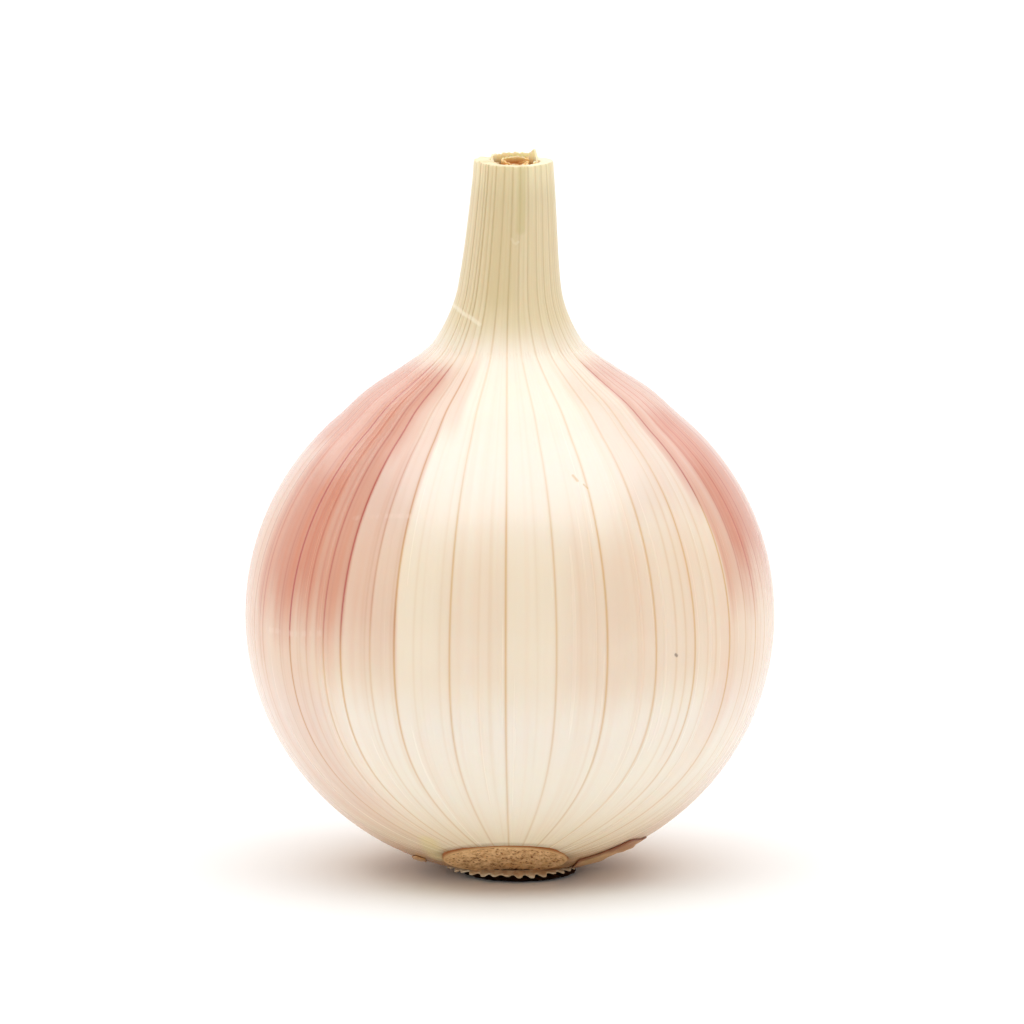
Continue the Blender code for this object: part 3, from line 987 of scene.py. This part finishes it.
def rootMatAndShadowMaterial():
    # painted shadow: the pad is near-black brown, standing for the contact shadow under the
    # fringe
    mat, tree, shader = newMaterial("rootMatAndPaintedShadow", 0.95, {"Specular IOR Level": 0.04})
    fibre = noiseValue(tree, objectPlace(tree), 1600.0, 4.0, 0.65)
    colour = mixColour(tree, mapRange(tree, fibre, 0.4, 0.75), *foot["fibre"])
    tree.links.new(colour, shader.inputs["Base Color"])
    tree.links.new(bump(tree, fibre, 0.00010), shader.inputs["Normal"])
    return mat


# dry skin left on the underside: the lift off the ball goes by steps along each piece
drySkin = {
    "drySkinFlake": {
        "replaces": "dry_skin_flake",
        "from": 13.5, "to": 31.0,          # degrees up the ball from its lowest point
        "front": 14.0, "back": -3.0,       # degrees towards and away from the front
        "lift": ((0.0, -0.02), (0.12, 0.02), (0.26, 0.03), (0.36, 0.06), (0.50, -0.05),
                 (0.58, -0.05), (0.68, 0.06), (0.79, 0.11), (0.84, -0.03), (1.0, -0.06)),
        "wall": 0.12, "along": 60, "across": 24, "side": 1.0,
        "material": "drySkin",
        # painted shade: the flake's dark rim stands for the shadowed crevice along its front
        # edge
        "tints": (tint(166, 94, 46), tint(214, 166, 106)), "rim": tint(120, 58, 26),
    },
    "drySkinNub": {
        "replaces": "dry_skin_nub",
        "from": 18.4, "to": 21.6,
        "front": 9.0, "back": -3.0,
        "lift": ((0.0, -0.06), (0.4, 0.05), (0.8, 0.08), (1.0, -0.04)),
        "wall": 0.12, "along": 20, "across": 14, "side": -1.0,
        "material": "drySkinPale",
        "tints": (tint(216, 168, 114), tint(240, 204, 154)), "rim": tint(204, 150, 98),
    },
}
skinStreak = tint(236, 196, 150)
viewTilt = radians(9.0)        # the pieces follow the ball's lower outline as seen this far up


def heightByStep(table, t):
    for (a, low), (b, high) in zip(table, table[1:]):
        if t <= b:
            return low + (high - low) * ease((t - a) / (b - a))
    return table[-1][1]


def makeDrySkin(name, d, material):
    bm = bmesh.new()
    edge = bm.verts.layers.float.new("edge")
    bmesh.ops.create_grid(bm, x_segments=d["along"], y_segments=d["across"], size=0.5)
    up = Vector((0.0, sin(viewTilt), cos(viewTilt)))
    near = Vector((0.0, -cos(viewTilt), sin(viewTilt)))
    for v in bm.verts:
        t, w = v.co.x + 0.5, v.co.y + 0.5
        v[edge] = 1.0 - ease(w / 0.16)
        taper = ease(t / 0.15 + 0.2) * ease((1.0 - t) / 0.25 + 0.15)
        centre = (d["front"] + d["back"]) / 2.0
        deep = radians(centre + (d["front"] - centre) * (1.0 - 2.0 * w) * taper)
        climb = radians(d["from"] + (d["to"] - d["from"]) * t)
        lobes = 1.0 + 0.25 * sin(t * 23.0) * w
        lift = 0.04 + heightByStep(d["lift"], t) * lobes * ease(w * 1.6)
        lift += 0.03 * wave(t * 9.0, w * 5.0)
        arm = (Vector((d["side"] * sin(climb), 0.0, 0.0)) - up * cos(climb)) * cos(deep)
        arm = (arm + near * sin(deep)) * (bulb["ballRadius"] + lift)
        v.co = Vector((arm.x, arm.y, bulb["ballCentreZ"] + arm.z * bulb["ballSquash"]))
    bmesh.ops.recalc_face_normals(bm, faces=bm.faces)
    if sum(f.normal.z for f in bm.faces) > 0.0:
        bmesh.ops.reverse_faces(bm, faces=bm.faces)
    bmesh.ops.solidify(bm, geom=bm.faces[:] + bm.edges[:] + bm.verts[:], thickness=-d["wall"])
    piece = finishPiece(name, bm, material)
    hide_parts(d["replaces"])
    return piece


def drySkinMaterial(d):
    mat, tree, shader = newMaterial(d["material"], 0.5, {
        "Subsurface Weight": 0.1,
        "Subsurface Radius": (0.0012, 0.0005, 0.0002),
        "Subsurface Scale": 1.0,
    })
    place = objectPlace(tree)
    edge = readAttribute(tree, "edge")
    patches = noiseValue(tree, place, 330.0, 3.0)
    streaks = noiseValue(tree, place, 2400.0, 3.0)
    colour = mixColour(tree, mapRange(tree, patches, 0.38, 0.62), *d["tints"])
    colour = mixColour(tree, maths(tree, 'MULTIPLY', streaks, 0.5), colour, skinStreak)
    # painted shade: the rim tint darkens the front edge, standing for the crevice under it; on
    # the nub it is only a little darker
    colour = mixColour(tree, maths(tree, 'MULTIPLY', edge, 0.85), colour, d["rim"])
    tree.links.new(colour, shader.inputs["Base Color"])
    tree.links.new(bump(tree, streaks, 0.00005), shader.inputs["Normal"])
    return mat


# lamps are a name, a size, a place and a power; sizes and places in metres
studio = {
    "floorSize": 24.0,
    "floorTint": (0.92, 0.92, 0.915, 1.0),
    "farFloor": (0.55, 1.6),    # the floor is lit up between these distances
    "farGlow": 0.46,
    "lamps": (("panelLight", (1.55, 1.15), (0.06, -0.12, 0.90), 8.8),
              ("backLight", (3.2, 1.4), (0.0, 1.75, 1.1), 13.0)),
    "white": 1.12,
    "overhead": 0.5,
    "front": 0.60,
    "right": 0.86,
    "overheadEdge": (0.35, 0.75),
    "frontEdge": (-0.30, -0.75),
    "frontTop": (0.80, 0.55),
    "rightEdge": (0.2, 0.9),
}

view = {
    "elevation": radians(9.0),
    "distance": 1.0,
    "frameWidth": 0.08693,      # what the frame spans at the bulb
    "target": (0.00017, 0.0, 0.03056),
    "sensor": 36.0,
}


def makeStage():
    bm = bmesh.new()
    bmesh.ops.create_grid(bm, x_segments=2, y_segments=2, size=studio["floorSize"] / 2.0)
    mesh = bpy.data.meshes.new("floor")
    bm.to_mesh(mesh)
    bm.free()
    floor = bpy.data.objects.new("floor", mesh)
    bpy.context.scene.collection.objects.link(floor)
    mat, tree, shader = newMaterial("paleFloor", 0.9, {
        "Base Color": studio["floorTint"],
        "Specular IOR Level": 0.1,
        "Emission Strength": 1.0,
    })
    # far off it glows a little, so that it meets the white behind it
    away = vectorMaths(tree, 'LENGTH', objectPlace(tree), output=1)
    glow = mapRange(tree, away, *studio["farFloor"], 0.0, studio["farGlow"])
    tree.links.new(glow, shader.inputs["Emission Color"])
    mesh.materials.append(mat)


def makePanel(name, size, place, power):
    lamp = bpy.data.lights.new(name, 'AREA')
    lamp.shape = 'RECTANGLE'
    lamp.size, lamp.size_y = size
    lamp.energy = power
    panel = bpy.data.objects.new(name, lamp)
    panel.location = place
    bpy.context.scene.collection.objects.link(panel)


def makeLights():
    for lamp in studio["lamps"]:
        makePanel(*lamp)

    # the sky is white, dimmer overhead, in front and a little to the right
    world = bpy.data.worlds.new("studio")
    bpy.context.scene.world = world
    world.use_nodes = True
    tree = world.node_tree
    direction = tree.nodes.new("ShaderNodeTexCoord").outputs["Generated"]
    split = tree.nodes.new("ShaderNodeSeparateXYZ")
    tree.links.new(direction, split.inputs[0])
    white, overhead, front = [(studio[key],) * 3 + (1.0,)
                              for key in ("white", "overhead", "front")]
    inFront = mapRange(tree, split.outputs["Y"], *studio["frontEdge"])
    notHigh = mapRange(tree, split.outputs["Z"], *studio["frontTop"])
    colour = mixColour(tree, mapRange(tree, split.outputs["Z"], *studio["overheadEdge"]),
                       white, overhead)
    colour = mixColour(tree, maths(tree, 'MULTIPLY', inFront, notHigh), colour, front)
    right = mapRange(tree, split.outputs["X"], *studio["rightEdge"], 1.0, studio["right"])
    colour = mixColour(tree, 1.0, colour, right, 'MULTIPLY')
    tree.links.new(colour, tree.nodes["Background"].inputs["Color"])


def makeCamera():
    v = view
    data = bpy.data.cameras.new("camera")
    data.sensor_width = v["sensor"]
    data.lens = v["sensor"] * v["distance"] / v["frameWidth"]
    data.clip_end = 60.0
    camera = bpy.data.objects.new("camera", data)
    back = Vector((0.0, -cos(v["elevation"]), sin(v["elevation"])))
    camera.location = Vector(v["target"]) + back * v["distance"]
    camera.rotation_euler = (pi / 2.0 - v["elevation"], 0.0, 0.0)
    bpy.context.scene.collection.objects.link(camera)
    bpy.context.scene.camera = camera
    bpy.context.scene.view_settings.view_transform = 'Standard'


makeBulb(bulbMaterial())
for leafName, leafParts in neckLeaves.items():
    makeNeckLeaf(leafName, leafParts, leafMaterial(leafParts["material"], leafParts["stops"]))
makeRootPlate(corkMaterial())
makeFringe(rootMaterial())
makeRootMatAndShadow(rootMatAndShadowMaterial())
for skinName, skinParts in drySkin.items():
    makeDrySkin(skinName, skinParts, drySkinMaterial(skinParts))
print("pieces made")
makeStage()
makeLights()
makeCamera()
print("stage, lamps and camera set")
